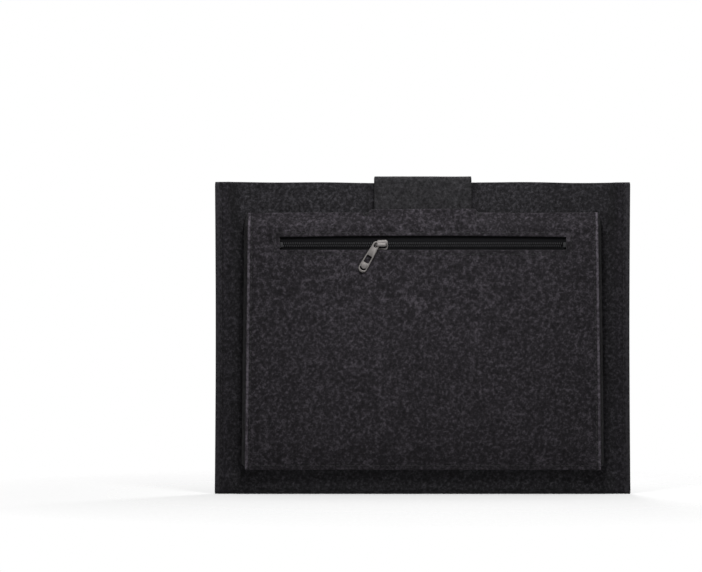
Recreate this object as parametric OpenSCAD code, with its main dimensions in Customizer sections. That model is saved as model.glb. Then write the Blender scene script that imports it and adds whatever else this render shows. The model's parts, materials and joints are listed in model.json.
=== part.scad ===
// Felt laptop sleeve, standing on its bottom fold.
// +X runs along the width, -Y faces the zip pocket, +Y faces the flap and button, +Z is up.
// The origin is the middle of the base.

/* [Sleeve] */
// Width over the side seams
sleeve_w = 350; // [300:1:400]
// Height of the sewn felt body
sleeve_h = 264; // [250:1:300]
// Depth over both felt faces
sleeve_d = 24; // [22:1:30]
// Thickness of every felt sheet
felt_t = 3; // [3:0.5:4]
// Width of the flat sewn band along each side
seam_band = 9; // [8:0.5:12]
// Distance from a side edge to where the felt stops sloping
margin_w = 18; // [16:1:24]

/* [Zip pocket] */
// Width over the pocket's felt strip
pocket_w = 303; // [280:1:306]
// Height of the pocket
pocket_h = 216; // [200:1:216]
// Height of the pocket's lower edge above the base
pocket_z = 21; // [18:1:30]
// Depth of the space inside the pocket
pocket_d = 7; // [7:0.5:10]
// Width of the zip window
window_w = 241; // [200:1:250]
// Height of the zip window
window_h = 11.6; // [11.6:0.2:14]
// Height of the window's middle above the base
window_z = 211.4; // [205:0.2:214]
// Height of the zip's own line, a little below the window's middle
zip_z = 210.2; // [205:0.2:214]
// Where the slider stands along the zip
slider_x = -35; // [-100:1:100]
// Angle of the hanging puller from straight down, towards -X
puller_angle = 30; // [0:1:60]

/* [Flap] */
// Width of the closing strap
flap_w = 81; // [70:1:96]
// Drop of the flap below the mouth of the sleeve
flap_drop = 60; // [55:1:64]
// Radius of the flap's two lower corners
flap_corner_r = 12.5; // [8:0.5:16]
// Space between the flap and the front felt
flap_gap = 3; // [3:0.5:5]

/* [Button and elastic] */
// Diameter of the button
button_d = 28; // [24:1:30]
// Thickness of the button
button_t = 4.5; // [4:0.5:6]
// Distance from the mouth of the sleeve down to the button's centre
button_drop = 79; // [78:1:82]
// Diameter of the elastic cord
elastic_d = 2; // [1.8:0.1:2.2]

/* [Hidden] */

felt_grey = "#2c292d";
front_grey = "#2d2c32";
thread_grey = "#3c3a40";
tape_black = "#1c1b1e";
coil_black = "#232225";
metal_grey = "#8f898a";
button_brown = "#96503c";

half_w = sleeve_w / 2;
half_d = sleeve_d / 2;
gap = 0.3;                      // running clearance between bodies
fold_r = 3;                     // outer radius of the two bottom folds
smooth = 48;

// Felt body
slope_x = half_w - margin_w;    // the faces are flat inside this
band_x = half_w - seam_band;    // the sewn band starts here
band_lift = 0.6;                // the sewn bands stop this far above the ground
cavity_x = slope_x - 2;         // flat width of the laptop space
cavity_tip_x = band_x - 2.8;    // where the two sheets meet at the side seam
mouth_over = 1;                 // how far cuts run past the mouth

// Stitches
stitch_len = 3.2;
stitch_w = 0.7;
stitch_proud = 0.5;
stitch_pitch = 5;
side_stitch_x = half_w - 4.5;
front_stitch_x = slope_x - 2;   // the front seam sews the inner pocket on
front_stitch_z = 30;
front_stitch_top = 232;
inner_pocket_t = 1.2;
inner_pocket_half = cavity_x - 0.5;
inner_pocket_z = 25;

// Zip pocket
pocket_half = pocket_w / 2;
pocket_top = pocket_z + pocket_h;
pocket_in_y = -half_d - pocket_d;        // inner face of the pocket panel
pocket_out_y = pocket_in_y - felt_t;     // outer face of the pocket panel
panel_inset = 4;                         // the felt strip shows this far outside the panel
panel_half = pocket_half - panel_inset;
strap_lift_half = 48.5;                  // the pocket's top edge is raised over the strap
strap_lift = 3;
pocket_stitch_inset = 3;

// Zip
tape_t = 0.8;
tape_half_gap = 0.5;
tape_reach = 12;
coil_reach = 2.6;
coil_t = 1.6;
tape_half_w = window_w / 2 + 7;
stop_w = 3;
stop_h = 4.4;
tape_out_y = pocket_in_y;
tape_in_y = tape_out_y + tape_t;
coil_out_y = tape_out_y - coil_t;
slider_len = 11;
slider_h = 8.4;
slider_plate_t = 1;
slider_top_in = coil_out_y - gap;
slider_top_out = slider_top_in - 1.4;
slider_web_half = 0.2;
flange_z = 3;
bridge_leg = 1.2;
bridge_w = 2;
bridge_x = 4.4;                          // centre of each leg from the slider's centre
puller_y = slider_top_out - 0.5;         // inner face of the puller
puller_t = 1.4;
bridge_in = puller_y - puller_t - gap;
bridge_out = bridge_in - 1;
puller_eye_r = 3;
puller_hole_r = 1.5;
puller_end_r = 3.75;
puller_end = 22.3;                       // from the eye to the centre of the rounded end
puller_window_at = 13.6;
puller_window_w = 4;
puller_window_h = 5.4;
puller_disc_at = 21.6;
puller_disc_r = 2.5;

// Strap and flap
flap_half = flap_w / 2;
strap_root_z = 221;
strap_y = -half_d - felt_t / 2;          // middle of the strap on the back
flap_y = half_d + flap_gap + felt_t / 2; // middle of the flap on the front
fold_z = sleeve_h + 1 + felt_t / 2;      // height of both fold lines
strap_root_top = fold_z - felt_t;
flap_bottom = sleeve_h - flap_drop;
hole_z = flap_bottom + 23;
hole_r = 2.2;

// Button
button_z = sleeve_h - button_drop;
button_back = half_d + 3.5;
button_front = button_back + button_t;
button_rim = 5;
button_dish = 1.4;
button_hole_r = 1;
button_hole_at = 2.4;
shank_r = 2;
knot_r = 3.4;

// The elastic's route as (x, y, z): out of the knot, through the flap's hole, down outside the
// flap, in behind the button, round its shank and back up to the knot.
leg_x = 1.1;
outside_y = 19.3;
behind_y = 13.75;
elastic_route = [
    [leg_x, 13.8, 227], [leg_x, 16.5, 227], [leg_x, 18.4, 226.7], [1.5, 19.2, 225],
    [3.4, outside_y, 218], [5.8, outside_y, 210], [7.7, 19, 204], [8.8, 17.2, 199.5],
    [9.6, 14.9, 195], [9.7, behind_y, 190], [8.2, behind_y, 185.4], [4.8, behind_y, 182.2],
    [0, behind_y, 181.2], [-5, behind_y, 182.2], [-9.4, behind_y, 185], [-12, behind_y, 189],
    [-12.9, 14.6, 194], [-12.2, 17.2, 199.5], [-10.9, 19, 204.5], [-8.9, outside_y, 209.5],
    [-5, outside_y, 217.5], [-1.8, 19.2, 225], [-leg_x, 18.4, 226.7], [-leg_x, 16.5, 227],
    [-leg_x, 13.8, 227]
];
rings_per_span = 3;
tube_sides = 8;

function unit(v) = v / norm(v);

// One point of the smooth curve through b and c, between a and d.
function curve_point(a, b, c, d, t) =
    0.5 * (2 * b + (c - a) * t + (2 * a - 5 * b + 4 * c - d) * t * t
        + (3 * b - a - 3 * c + d) * t * t * t);

function smooth_route(p, steps) = [
    for (i = [0 : len(p) - 2])
        for (s = [0 : steps - 1])
            curve_point(p[max(i - 1, 0)], p[i], p[i + 1], p[min(i + 2, len(p) - 1)], s / steps),
    p[len(p) - 1]
];

function tangent(p, i) = unit(p[min(i + 1, len(p) - 1)] - p[max(i - 1, 0)]);

function square_to(v, t) = unit(v - (v * t) * t);

// A normal at every point, carried along the route without twisting.
function normals(p) = [
    for (i = 0, n = square_to([0, 0, 1], tangent(p, 0)); i < len(p);
        i = i + 1, n = i < len(p) ? square_to(n, tangent(p, i)) : n) n
];

module tube(route, r, sides) {
    n = normals(route);
    last = len(route) - 1;
    points = [
        for (i = [0 : last])
            for (s = [0 : sides - 1])
                let (t = tangent(route, i), a = 360 * s / sides)
                    route[i] + r * (cos(a) * n[i] + sin(a) * cross(t, n[i]))
    ];
    walls = [
        for (i = [0 : last - 1])
            for (s = [0 : sides - 1])
                let (u = (s + 1) % sides)
                    [i * sides + s, (i + 1) * sides + s, (i + 1) * sides + u, i * sides + u]
    ];
    start_cap = [[for (s = [0 : sides - 1]) s]];
    end_cap = [[for (s = [sides - 1 : -1 : 0]) last * sides + s]];
    polyhedron(points = points, faces = concat(walls, start_cap, end_cap));
}

// A box between two corners.
module block(low, high) {
    translate(low) cube(high - low);
}

// A cylinder along Y from y0 to y1.
module rod_y(x, z, y0, y1, r) {
    translate([x, y1, z]) rotate([90, 0, 0]) cylinder(h = y1 - y0, r = r, $fn = smooth);
}

// Stitches in a row from low to high on a face at y, standing towards side (1 or -1).
module stitches_up(x, y, side, low, high) {
    count = floor((high - low) / stitch_pitch);
    for (i = [0 : count - 1])
        translate([x - stitch_w / 2, min(y, y + side * stitch_proud), low + i * stitch_pitch])
            cube([stitch_w, stitch_proud, stitch_len]);
}

module stitches_across(z, y, side, low, high) {
    count = floor((high - low) / stitch_pitch);
    for (i = [0 : count - 1])
        translate([low + i * stitch_pitch, min(y, y + side * stitch_proud), z - stitch_w / 2])
            cube([stitch_len, stitch_proud, stitch_w]);
}

module body_outside() {
    hull() {
        for (s = [-1, 1])
            translate([-slope_x, s * (half_d - fold_r), fold_r]) rotate([0, 90, 0])
                cylinder(h = 2 * slope_x, r = fold_r, $fn = 32);
        block([-slope_x, -half_d, sleeve_h - 1], [slope_x, half_d, sleeve_h]);
        block([-band_x, -felt_t, band_lift], [band_x, felt_t, sleeve_h]);
    }
    for (s = [-1, 1])
        translate([s * (half_w - seam_band / 2) - seam_band / 2, -felt_t, band_lift])
            cube([seam_band, 2 * felt_t, sleeve_h - band_lift]);
}

module laptop_space() {
    inner = half_d - felt_t;
    hull() {
        block([-cavity_x, -inner, felt_t + 1.5], [cavity_x, inner, sleeve_h + mouth_over]);
        block([-cavity_x, 1.5 - inner, felt_t], [cavity_x, inner - 1.5, felt_t + 1]);
        block([-cavity_tip_x, -0.3, felt_t], [cavity_tip_x, 0.3, sleeve_h + mouth_over]);
    }
}

module body_felt() {
    color(front_grey)
        difference() {
            body_outside();
            laptop_space();
        }
}

module inner_pocket() {
    inner = half_d - felt_t;
    color(felt_grey)
        block([-inner_pocket_half, inner - inner_pocket_t, inner_pocket_z],
            [inner_pocket_half, inner, front_stitch_top]);
}

module side_stitching(x) {
    color(thread_grey)
        for (side = [-1, 1])
            stitches_up(x, side * felt_t, side, 3, sleeve_h - 1);
}

module side_stitching_left() {
    side_stitching(-side_stitch_x);
}

module side_stitching_right() {
    side_stitching(side_stitch_x);
}

module front_stitching() {
    color(thread_grey) {
        for (s = [-1, 1])
            stitches_up(s * front_stitch_x, half_d, 1, front_stitch_z + 2, front_stitch_top);
        stitches_across(front_stitch_z, half_d, 1, -front_stitch_x + 2, front_stitch_x - 1);
    }
}

module pocket_gusset() {
    color(felt_grey)
        difference() {
            block([-pocket_half, pocket_in_y, pocket_z], [pocket_half, -half_d, pocket_top]);
            block([-pocket_half + felt_t, pocket_in_y - 1, pocket_z + felt_t],
                [pocket_half - felt_t, 1 - half_d, pocket_top - felt_t]);
            block([-flap_half - gap, -half_d - felt_t, pocket_top - felt_t - 1],
                [flap_half + gap, 1 - half_d, pocket_top + 1]);
        }
}

module pocket_panel() {
    color(felt_grey)
        difference() {
            union() {
                block([-panel_half, pocket_out_y, pocket_z], [panel_half, pocket_in_y, pocket_top]);
                block([-strap_lift_half, pocket_out_y, pocket_top - 1],
                    [strap_lift_half, pocket_in_y, pocket_top + strap_lift]);
            }
            block([-window_w / 2, pocket_out_y - 1, window_z - window_h / 2],
                [window_w / 2, pocket_in_y + 1, window_z + window_h / 2]);
        }
}

module pocket_stitching() {
    x = panel_half - pocket_stitch_inset;
    z = pocket_z + pocket_stitch_inset;
    color(thread_grey) {
        for (s = [-1, 1])
            stitches_up(s * x, pocket_out_y, -1, z + 2, pocket_top - 1);
        stitches_across(z, pocket_out_y, -1, -x + 2, x - 1);
    }
}

module zip_window_stitching() {
    x = window_w / 2 + 3.7;
    z = window_h / 2 + 3.3;
    color(thread_grey)
        for (s = [-1, 1]) {
            stitches_up(s * x, pocket_out_y, -1, window_z - z + 1.5, window_z + z);
            stitches_across(window_z + s * z, pocket_out_y, -1, -x + 1.5, x);
        }
}

module strap_root() {
    color(felt_grey)
        block([-flap_half, -half_d - felt_t, strap_root_z], [flap_half, -half_d, strap_root_top]);
}

module strap_stitching() {
    tack_len = 6;
    color(thread_grey)
        for (s = [-1, 1], i = [0, 1])
            translate([s * (strap_lift_half - tack_len / 2 - 1) - tack_len / 2,
                pocket_out_y - stitch_proud, pocket_top + 0.3 + i * 1.3])
                cube([tack_len, stitch_proud, stitch_w]);
}

module zip_tape(side) {
    low = side > 0 ? tape_half_gap : -tape_reach;
    color(tape_black)
        translate([-tape_half_w, tape_out_y, zip_z + low])
            cube([2 * tape_half_w, tape_t, tape_reach - tape_half_gap]);
}

module zip_tape_upper() {
    zip_tape(1);
}

module zip_tape_lower() {
    zip_tape(-1);
}

// A coil is a flat-backed rib along the edge of its tape, with bevelled shoulders.
module zip_coil(side) {
    length = window_w - 2 * stop_w;
    bevel = 0.5;
    rib = [
        [tape_half_gap, 0], [coil_reach, 0], [coil_reach, bevel - coil_t],
        [coil_reach - bevel, -coil_t], [tape_half_gap + bevel, -coil_t], [tape_half_gap, bevel - coil_t]
    ];
    color(coil_black)
        translate([-length / 2, tape_out_y, zip_z])
            rotate([90, 0, 90]) linear_extrude(length)
                polygon([for (p = rib) [p[1], side * p[0]]]);
}

module zip_coil_upper() {
    zip_coil(1);
}

module zip_coil_lower() {
    zip_coil(-1);
}

module zip_stop(side) {
    x = side * (window_w / 2 - stop_w / 2);
    color(metal_grey)
        block([x - stop_w / 2 + 0.2, coil_out_y, zip_z - stop_h / 2],
            [x + stop_w / 2, tape_out_y, zip_z + stop_h / 2]);
}

module zip_stop_left() {
    zip_stop(-1);
}

module zip_stop_right() {
    zip_stop(1);
}

module slider_body() {
    half_l = slider_len / 2;
    half_h = slider_h / 2;
    color(metal_grey)
        translate([slider_x, 0, zip_z])
            difference() {
                union() {
                    block([-half_l, slider_top_out, -half_h], [half_l, slider_top_in, half_h]);
                    for (low = [-half_h, flange_z])
                        translate([-half_l, slider_top_in, low])
                            cube([slider_len, tape_out_y - gap - slider_top_in, half_h - flange_z]);
                    block([-half_l, tape_in_y + gap, -half_h],
                        [half_l, tape_in_y + gap + slider_plate_t, half_h]);
                    block([-half_l + 2, slider_top_in - 0.2, -slider_web_half],
                        [half_l - 2, tape_in_y + gap + 0.2, slider_web_half]);
                }
                // The end towards -X is narrower: both corners are cut off.
                for (s = [-1, 1])
                    translate([-half_l - 1.2, 0, s * (half_h + 1.2)]) rotate([0, 45, 0])
                        translate([-2, slider_top_out - 1, -2])
                            cube([4, 10, 4]);
            }
}

module slider_bridge() {
    color(metal_grey)
        translate([slider_x, 0, zip_z]) {
            for (s = [-1, 1])
                block([s * bridge_x - bridge_leg / 2, bridge_in, -bridge_w / 2],
                    [s * bridge_x + bridge_leg / 2, slider_top_out, bridge_w / 2]);
            block([-bridge_x - bridge_leg / 2, bridge_out, -bridge_w / 2],
                [bridge_x + bridge_leg / 2, bridge_in, bridge_w / 2]);
        }
}

module puller_outline() {
    circle(r = puller_eye_r, $fn = smooth);
    translate([0, -puller_end]) circle(r = puller_end_r, $fn = smooth);
    polygon([
        [-puller_eye_r, 0], [puller_eye_r, 0],
        [puller_end_r, -puller_end], [-puller_end_r, -puller_end]
    ]);
}

module puller() {
    color(metal_grey)
        translate([slider_x - bridge_x, puller_y, zip_z]) rotate([0, puller_angle, 0])
            rotate([90, 0, 0]) {
                linear_extrude(puller_t)
                    difference() {
                        puller_outline();
                        circle(r = puller_hole_r, $fn = smooth);
                        translate([0, -puller_window_at])
                            square([puller_window_w, puller_window_h], center = true);
                    }
                translate([0, -puller_disc_at, puller_t])
                    cylinder(h = 0.5, r = puller_disc_r, $fn = smooth);
            }
}

module flap_top() {
    color(front_grey) {
        translate([-flap_half, strap_y, fold_z]) rotate([0, 90, 0])
            cylinder(h = flap_w, r = felt_t / 2, $fn = smooth);
        block([-flap_half, strap_y, fold_z - felt_t / 2],
            [flap_half, flap_y - felt_t / 2 - gap, fold_z + felt_t / 2]);
    }
}

module flap_outline() {
    low = flap_bottom;
    r = flap_corner_r;
    difference() {
        union() {
            translate([-flap_half, low + r]) square([flap_w, fold_z - low - r]);
            translate([-flap_half + r, low]) square([flap_w - 2 * r, r + 1]);
            for (s = [-1, 1])
                translate([s * (flap_half - r), low + r]) circle(r = r, $fn = 96);
        }
        translate([0, hole_z]) circle(r = hole_r, $fn = smooth);
    }
}

module flap_front() {
    color(front_grey) {
        translate([0, flap_y + felt_t / 2, 0]) rotate([90, 0, 0]) linear_extrude(felt_t) flap_outline();
        translate([-flap_half, flap_y, fold_z]) rotate([0, 90, 0])
            cylinder(h = flap_w, r = felt_t / 2, $fn = smooth);
    }
}

module elastic_knot() {
    color(tape_black) rod_y(0, hole_z, half_d + 0.4, half_d + flap_gap - 0.2, knot_r);
}

module elastic_loop() {
    color(tape_black) tube(smooth_route(elastic_route, rings_per_span), elastic_d / 2, tube_sides);
}

module button_shank() {
    color(tape_black) rod_y(0, button_z, half_d, button_back - gap, shank_r);
}

// The button is turned: a rim round a dish, with a rounded back edge.
module button_profile() {
    r = button_d / 2;
    polygon([
        [0, 0], [r - 2.5, 0], [r - 0.7, 1], [r, 2.4], [r - 0.5, 3.7], [r - 1.8, button_t],
        [r - button_rim + 0.8, button_t], [r - button_rim - 0.8, button_t - button_dish],
        [0, button_t - button_dish]
    ]);
}

module button() {
    color(button_brown)
        translate([0, button_back, button_z]) rotate([-90, 0, 0])
            difference() {
                rotate_extrude($fn = 96) button_profile();
                for (x = [-1, 1], y = [-1, 1])
                    translate([x * button_hole_at, y * button_hole_at, -1])
                        cylinder(h = button_t + 2, r = button_hole_r, $fn = smooth);
            }
}

module button_thread() {
    y = button_front - button_dish;
    reach = button_hole_at + 0.3;
    color(tape_black)
        for (s = [-1, 1])
            block([-reach, y, button_z + s * button_hole_at - 0.4],
                [reach, y + 0.8, button_z + s * button_hole_at + 0.4]);
}

body_felt();
inner_pocket();
side_stitching_left();
side_stitching_right();
front_stitching();
pocket_gusset();
pocket_panel();
pocket_stitching();
zip_window_stitching();
strap_root();
strap_stitching();
zip_tape_upper();
zip_tape_lower();
zip_coil_upper();
zip_coil_lower();
zip_stop_left();
zip_stop_right();
slider_body();
slider_bridge();
puller();
flap_top();
flap_front();
elastic_knot();
elastic_loop();
button_shank();
button();
button_thread();
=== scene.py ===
"""Looks of the felt laptop sleeve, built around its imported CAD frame. Metres, +Z up, -Y is the zip face."""

import json
import math

import bmesh
import bpy
import numpy as np
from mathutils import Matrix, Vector, noise


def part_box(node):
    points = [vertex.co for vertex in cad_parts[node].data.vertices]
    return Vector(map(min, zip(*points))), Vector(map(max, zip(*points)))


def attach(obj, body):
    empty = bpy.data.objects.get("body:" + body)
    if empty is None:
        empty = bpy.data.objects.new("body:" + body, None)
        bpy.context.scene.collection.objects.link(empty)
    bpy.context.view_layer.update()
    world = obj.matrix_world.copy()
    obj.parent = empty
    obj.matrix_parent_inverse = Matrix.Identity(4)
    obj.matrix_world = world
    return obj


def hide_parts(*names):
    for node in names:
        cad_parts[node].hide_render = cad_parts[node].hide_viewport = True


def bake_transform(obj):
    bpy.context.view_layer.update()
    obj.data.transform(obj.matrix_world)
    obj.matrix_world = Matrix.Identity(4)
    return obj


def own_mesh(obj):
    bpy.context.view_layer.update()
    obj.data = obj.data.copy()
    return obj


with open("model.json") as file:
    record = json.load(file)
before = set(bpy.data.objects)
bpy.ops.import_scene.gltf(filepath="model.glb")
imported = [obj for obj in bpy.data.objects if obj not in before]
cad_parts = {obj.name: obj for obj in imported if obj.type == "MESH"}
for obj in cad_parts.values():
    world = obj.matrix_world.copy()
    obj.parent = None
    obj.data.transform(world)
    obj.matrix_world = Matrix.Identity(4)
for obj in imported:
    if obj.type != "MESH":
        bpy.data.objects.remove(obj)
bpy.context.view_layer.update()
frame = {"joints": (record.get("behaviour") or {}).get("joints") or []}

MM = 0.001
scene = bpy.context.scene

# ---- sizes taken from the frame

body_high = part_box("body_felt")[1]
panel_low, panel_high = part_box("pocket_panel")
gusset_low, gusset_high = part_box("pocket_gusset")
flap_low, flap_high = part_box("flap_front")
button_low, button_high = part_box("button")
slider_low, slider_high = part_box("slider_body")
bridge_low, bridge_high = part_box("slider_bridge")
tape_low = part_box("zip_tape_upper")[0]
joints = {j["name"]: j for j in frame["joints"]}

half_w, half_d, mouth_z = body_high
flap_half = flap_high[0]
zip_z = (tape_low[2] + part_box("zip_tape_lower")[1][2]) / 2
window_z = sum(corner[2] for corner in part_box("zip_window_stitching")) / 2
button_z = (button_low[2] + button_high[2]) / 2
strap_axis = Vector(joints["strap_fold"]["pos_m"])
flap_axis = Vector(joints["flap_fold"]["pos_m"])
puller_pivot = Vector(joints["puller_swing"]["pos_m"])
panel_half = panel_high[0] - 0.8 * MM
panel_bottom = panel_low[2] + 0.5 * MM
panel_top = gusset_high[2]

FELT = 3 * MM
BAND = 9 * MM               # flat sewn band along each side
SIDE_STITCH = 4.5 * MM      # side seam, from the edge
FRONT_EDGE_X = 160 * MM     # outline of the inner pocket pressed through the front
FRONT_EDGE_Z = 25 * MM
FRONT_STITCH_X = 155 * MM
FRONT_STITCH_Z = 30 * MM
FRONT_TOP_Z = 232 * MM
WINDOW_HALF = 120.5 * MM    # window of the zip
WINDOW_H = 11.6 * MM
RING_X = WINDOW_HALF + 3.7 * MM     # seam round the window, from its middle
RING_Z = WINDOW_H / 2 + 3.3 * MM
PANEL_SEAM = 3 * MM         # seam round the pocket, from its edge
PANEL_SPLAY = 0.019         # the pocket widens downwards by this much
BUTTON_R = 14 * MM


# ---- small helpers

def rise(a, b, x):
    """0 below a, 1 above b, eased between. Works on numbers and arrays."""
    t = np.clip((np.asarray(x, float) - a) / (b - a), 0, 1)
    return t * t * (3 - 2 * t)


def fall(a, b, x):
    return 1 - rise(a, b, x)


def bump(x, centre, width):
    return np.exp(-((np.asarray(x, float) - centre) / width) ** 2)


def spaced(*runs):
    """Coordinates along several runs (start, stop, step), each cut into even steps."""
    out = []
    for start, stop, step in runs:
        n = max(1, int(round(abs(stop - start) / step)))
        out.extend(np.linspace(start, stop, n + 1)[:-1])
    return np.array(out + [runs[-1][1]])


def mirrored(half):
    """Ascending coordinates from -end to end, from those of the positive half, which start at 0."""
    return np.concatenate([-half[::-1], half[1:]])


def distances(points):
    """How far along its row each point is."""
    return np.concatenate([[0], np.cumsum(np.linalg.norm(np.diff(points, axis=0), axis=1))])


def ripple(points, size, amount, seed):
    """Gentle unevenness in mm-scale felt: one smooth noise value for each point."""
    shift = Vector((seed, seed * 2.3, seed * 0.7))
    values = [noise.noise(Vector(p) / size + shift) for p in points.reshape(-1, 3)]
    return amount * np.array(values).reshape(points.shape[:-1])


def add_object(name, data):
    obj = bpy.data.objects.new(name, data)
    scene.collection.objects.link(obj)
    return obj


def smooth_shading(obj, sharp_angle=None):
    obj.data.polygons.foreach_set("use_smooth", [True] * len(obj.data.polygons))
    if sharp_angle:
        obj.data.set_sharp_from_angle(angle=math.radians(sharp_angle))
    return obj


def new_object(name, verts, faces, material):
    mesh = bpy.data.meshes.new(name)
    mesh.from_pydata([tuple(v) for v in verts], [], faces)
    mesh.validate()
    mesh.update()
    mesh.materials.append(material)
    return add_object(name, mesh)


def object_of(name, bm, material=None):
    """An object with a bmesh's shape. The bmesh is used up."""
    mesh = bpy.data.meshes.new(name)
    bm.to_mesh(mesh)
    bm.free()
    if material:
        mesh.materials.append(material)
    return add_object(name, mesh)


def outward_normals(obj):
    bm = bmesh.new()
    bm.from_mesh(obj.data)
    bmesh.ops.recalc_face_normals(bm, faces=bm.faces)
    if bm.calc_volume(signed=True) < 0:
        bmesh.ops.reverse_faces(bm, faces=bm.faces)
    bm.to_mesh(obj.data)
    bm.free()
    return obj


def solid(name, verts, faces, material):
    """A smooth closed mesh with its normals outwards."""
    return outward_normals(smooth_shading(new_object(name, verts, faces, material)))


def evaluated_mesh(obj):
    bpy.context.view_layer.update()
    return bpy.data.meshes.new_from_object(obj.evaluated_get(bpy.context.evaluated_depsgraph_get()))


def apply_modifiers(obj):
    mesh = evaluated_mesh(obj)
    obj.modifiers.clear()
    old, obj.data = obj.data, mesh
    bpy.data.meshes.remove(old)


def joined(name, parts):
    """Several meshes as one object, with the first one's material."""
    bm = bmesh.new()
    for part in parts:
        bm.from_mesh(part.data)
    obj = object_of(name, bm, parts[0].data.materials[0])
    for part in parts:
        bpy.data.objects.remove(part)
    obj.data.set_sharp_from_angle(angle=math.radians(40))
    return obj


def stands_for(piece, body, node):
    """Hands over a finished piece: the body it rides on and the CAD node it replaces."""
    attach(piece, body)
    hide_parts(node)


def perimeter(i0, i1, j0, j1):
    return ([(i, j0) for i in range(i0, i1)] + [(i1, j) for j in range(j0, j1)]
            + [(i, j1) for i in range(i1, i0, -1)] + [(i0, j) for j in range(j1, j0, -1)])


def felt_solid(name, outer, inner, material, hole=None, roundness=0.35, steps=4, butt=None):
    """A closed sheet between two grids of points, with softly rounded cut edges.
    hole is (i0, i1, j0, j1): the block of cells that is left open.
    butt is the row that meets another sheet: it is left flat, with a crisp edge."""
    nu, nv = outer.shape[:2]
    verts = list(outer.reshape(-1, 3)) + list(inner.reshape(-1, 3))
    back = nu * nv
    faces = []
    for i in range(nu - 1):
        for j in range(nv - 1):
            if hole and hole[0] <= i < hole[1] and hole[2] <= j < hole[3]:
                continue
            a, b = i * nv + j, (i + 1) * nv + j
            faces += [(a, b, b + 1, a + 1), (back + a + 1, back + b + 1, back + b, back + a)]

    def rim(ring, around):
        rows = []
        for i, j in ring:
            o, n = outer[i, j], inner[i, j]
            # the next point towards the sheet's own middle
            if around:
                ci = i - 1 if i == around[0] else (i + 1 if i == around[1] else i)
                cj = j - 1 if j == around[2] else (j + 1 if j == around[3] else j)
            else:
                ci = i if i == butt else min(max(i, 1), nu - 2)
                cj = min(max(j, 1), nv - 2)
            middle, half = (o + n) / 2, (o - n) / 2
            away = middle - (outer[ci, cj] + inner[ci, cj]) / 2
            length = np.linalg.norm(away)
            away = away / length if length > 1e-9 else away * 0
            reach = np.linalg.norm(half) * roundness
            first = len(verts)
            for k in range(1, steps):
                angle = math.pi * k / steps
                verts.append(middle + half * math.cos(angle) + away * reach * math.sin(angle))
            rows.append([i * nv + j, *range(first, len(verts)), back + i * nv + j])
        for p, q in zip(rows, rows[1:] + rows[:1]):
            faces.extend((p[k], p[k + 1], q[k + 1], q[k]) for k in range(steps))

    rim(perimeter(0, nu - 1, 0, nv - 1), None)
    if hole:
        rim(perimeter(*hole), hole)
    obj = solid(name, verts, faces, material)
    if butt is not None:
        on_row = {start + butt * nv + j for start in (0, back) for j in range(nv)}
        for edge in obj.data.edges:
            if edge.vertices[0] in on_row and edge.vertices[1] in on_row:
                edge.use_edge_sharp = True
    return obj


def circle(sides):
    return [2 * math.pi * s / sides for s in range(sides)]


def tube_faces(first, rings, sides):
    """Faces of a capped tube, from rings of points that follow one another from index first."""
    faces = []
    for ring in range(first, first + (rings - 1) * sides, sides):
        for s in range(sides):
            u = (s + 1) % sides
            faces.append((ring + s, ring + u, ring + sides + u, ring + sides + s))
    last = first + (rings - 1) * sides
    return faces + [tuple(range(first + sides - 1, first - 1, -1)), tuple(range(last, last + sides))]


def tube_mesh(name, path, radius, material, sides=12, profile=None):
    """A round tube along points, with a normal carried along without twisting."""
    pts = [Vector(p) for p in path]
    count = len(pts)
    verts = []
    normal = None
    for i, p in enumerate(pts):
        t = (pts[min(i + 1, count - 1)] - pts[max(i - 1, 0)]).normalized()
        if normal is None:
            normal = t.orthogonal().normalized()
        normal = (normal - t * normal.dot(t)).normalized()
        side = t.cross(normal)
        for a in circle(sides):
            r = radius * (profile(i / (count - 1), a) if profile else 1)
            verts.append(p + (normal * math.cos(a) + side * math.sin(a)) * r)
    return solid(name, verts, tube_faces(0, count, sides), material)


def curve_through(points, steps):
    """The same smooth curve that the CAD sweeps its tube along."""
    p = [Vector(q) for q in points]
    out = []
    for i in range(len(p) - 1):
        a, b, c, d = p[max(i - 1, 0)], p[i], p[i + 1], p[min(i + 2, len(p) - 1)]
        for s in range(steps):
            t = s / steps
            out.append(0.5 * (2 * b + (c - a) * t + (2 * a - 5 * b + 4 * c - d) * t * t
                              + (3 * b - a - 3 * c + d) * t * t * t))
    return out + [p[-1]]


def stitches(name, runs, material, pitch=4.2 * MM, length=3.1 * MM, radius=0.42 * MM):
    """Rows of sewn stitches. Each run is (points, normal): the seam's line on the surface and the
    way the surface faces. A stitch is a bowed capsule that dips into the felt at both ends."""
    sides, rings = 7, 7
    verts, faces = [], []
    for points, facing in runs:
        pts = np.array(points, float)
        along = distances(pts)
        up = Vector(facing)

        def at(d):
            return Vector([np.interp(d, along, pts[:, axis]) for axis in range(3)])

        count = int(along[-1] / pitch)
        lead = (along[-1] - count * pitch - length) / 2
        for n in range(count):
            start = lead + (n + 0.5) * pitch
            faces += tube_faces(len(verts), rings, sides)
            side = (at(start + length) - at(start)).cross(up).normalized()
            for r in range(rings):
                f = r / (rings - 1)
                bow = math.sin(math.pi * f)
                lift = radius * (1.15 * max(bow, 0) ** 0.6 - 0.75)
                fat = radius * (0.45 + 0.55 * math.sin(math.pi * min(max(f, 0.04), 0.96)) ** 0.5)
                for a in circle(sides):
                    verts.append(at(start + f * length) + up * (lift + fat * math.sin(a))
                                 + side * fat * math.cos(a))
    return solid(name, verts, faces, material)


# ---- materials

def times(colour, factor):
    return tuple(min(1, c * factor) for c in colour)


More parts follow.
